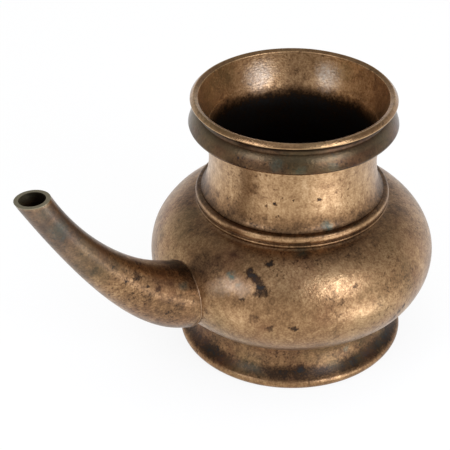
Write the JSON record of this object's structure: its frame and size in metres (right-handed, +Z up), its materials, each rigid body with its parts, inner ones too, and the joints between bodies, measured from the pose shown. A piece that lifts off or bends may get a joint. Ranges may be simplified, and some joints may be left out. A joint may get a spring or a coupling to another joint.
{
  "type": "spouted water vessel",
  "caption": "Round-bellied cast bronze water vessel, a kindi, with a waisted neck, a rolled rim, an open foot ring and a long upturned spout on its side.",
  "frame": {"origin": "the middle of the object's box in X and Y, on the surface that the foot ring stands on; the vessel's round axis is the line x = 37.0 mm, y = 0", "axes": "+Z up along the vessel's axis; the spout leaves the belly towards -X and lies in the plane y = 0"},
  "size_m": [0.2066, 0.1326, 0.126],
  "materials": {
    "patinated_bronze": "cast and turned bell metal with a brown handling patina, satin, finely pitted",
    "rubbed_bronze": "the same metal rubbed brighter and more golden by handling, satin",
    "dark_bronze": "the same metal with a dark grey-brown patina on the roll, rubbed bright on the lip",
    "braze": "dull brown braze metal"
  },
  "bodies": {
    "root": {"bowl": "patinated_bronze", "neck": "rubbed_bronze", "collar_ring": "rubbed_bronze", "mouth_rim": "dark_bronze", "foot_ring": "patinated_bronze", "spout": "patinated_bronze", "spout_braze": "braze", "neck_braze": "braze", "mouth_braze": "braze", "foot_braze": "braze"}
  },
  "joints": []
}
